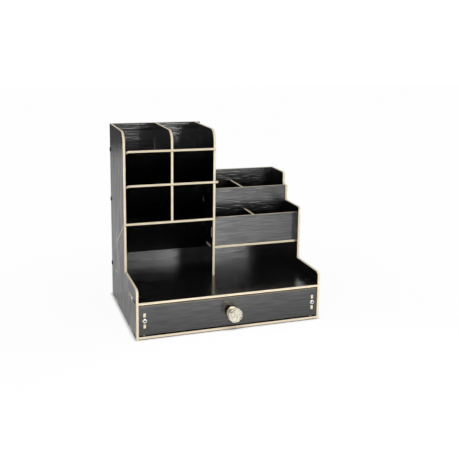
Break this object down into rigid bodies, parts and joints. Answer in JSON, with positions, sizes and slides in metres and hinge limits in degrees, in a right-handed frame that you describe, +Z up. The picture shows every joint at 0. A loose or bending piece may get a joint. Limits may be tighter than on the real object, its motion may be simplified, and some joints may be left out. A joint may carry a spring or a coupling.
{
  "type": "desk organizer with drawer",
  "caption": "Black flat-board desk organizer with a tall sloping-cell tower, stepped pen tiers, an open table with low arms and a drawer with a faceted knob.",
  "frame": {"origin": "centre of the overall bounding box on the surface that the organizer stands on", "axes": "+X to the right as seen from the front, +Y to the back, +Z up; the drawer opens towards -Y"},
  "size_m": [0.3344, 0.258, 0.333],
  "materials": {
    "black_board": "black wood-grain laminate, semi-gloss, with raw cream board edges",
    "fastener_steel": "plated",
    "knob_metal": "polished pale gold",
    "knob_glass": "clear cut crystal, champagne tint"
  },
  "bodies": {
    "case": {"left_side_panel": "black_board", "right_side_panel": "black_board", "middle_panel": "black_board", "centre_divider": "black_board", "back_panel": "black_board", "table_board": "black_board", "bottom_board": "black_board", "upper_ramp": "black_board", "middle_ramp": "black_board", "lower_ramp": "black_board", "tier_shelf": "black_board", "front_tier_panel": "black_board", "rear_tier_panel": "black_board", "front_tier_divider": "black_board", "rear_tier_divider": "black_board", "case_bolts": "fastener_steel", "case_nuts": "fastener_steel"},
    "drawer": {"drawer_front": "black_board", "drawer_left_side": "black_board", "drawer_right_side": "black_board", "drawer_floor": "black_board", "drawer_back": "black_board", "drawer_bolts": "fastener_steel", "drawer_nuts": "fastener_steel", "knob_stem": "knob_metal", "knob_crystal": "knob_glass", "knob_screw": "fastener_steel"}
  },
  "joints": [
    {"name": "drawer_slide", "type": "slide", "parent": "case", "child": "drawer", "axis": [0, -1, 0], "range_m": [0, 0.16]}
  ]
}
